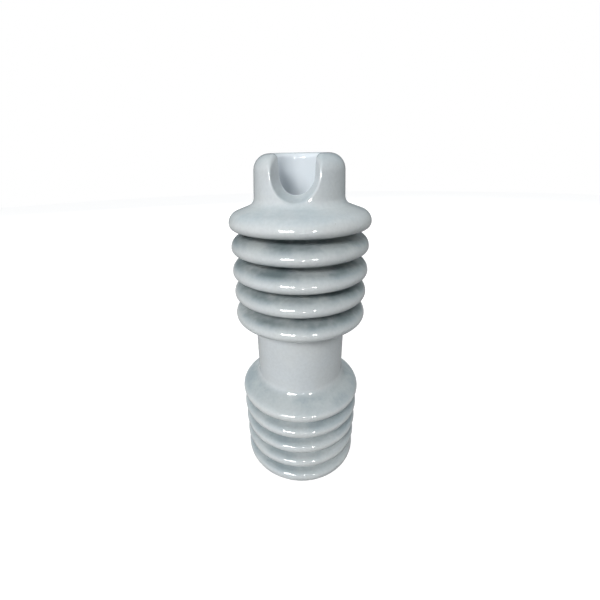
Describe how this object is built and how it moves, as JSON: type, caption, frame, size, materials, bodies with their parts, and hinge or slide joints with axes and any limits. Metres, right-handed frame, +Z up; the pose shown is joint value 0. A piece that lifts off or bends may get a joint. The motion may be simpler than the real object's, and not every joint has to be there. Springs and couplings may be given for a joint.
{
  "type": "porcelain insulator",
  "caption": "Glazed porcelain post insulator with an open notched cup head, rounded weather sheds, a plain clamping waist and a threaded insert cemented into each end.",
  "frame": {"origin": "centre of the foot face, where the porcelain stands", "axes": "+Z up the axis from the foot to the cup; the notch in the cup faces -Y"},
  "size_m": [0.12, 0.12, 0.307],
  "materials": {
    "glazed_porcelain": "pale blue-grey glaze, glossy",
    "galvanised_iron": "hot-dip galvanised, dull grey",
    "cement": "neat Portland cement, matt",
    "cork": "pressed cork",
    "sealing_compound": "grey sealing compound, satin"
  },
  "bodies": {
    "root": {"porcelain_body": "glazed_porcelain", "cup_insert": "galvanised_iron", "cup_cement": "cement", "cup_cushion": "cork", "cup_seal": "sealing_compound", "foot_insert": "galvanised_iron", "foot_cement": "cement", "foot_cushion": "cork", "foot_seal": "sealing_compound"}
  },
  "joints": []
}
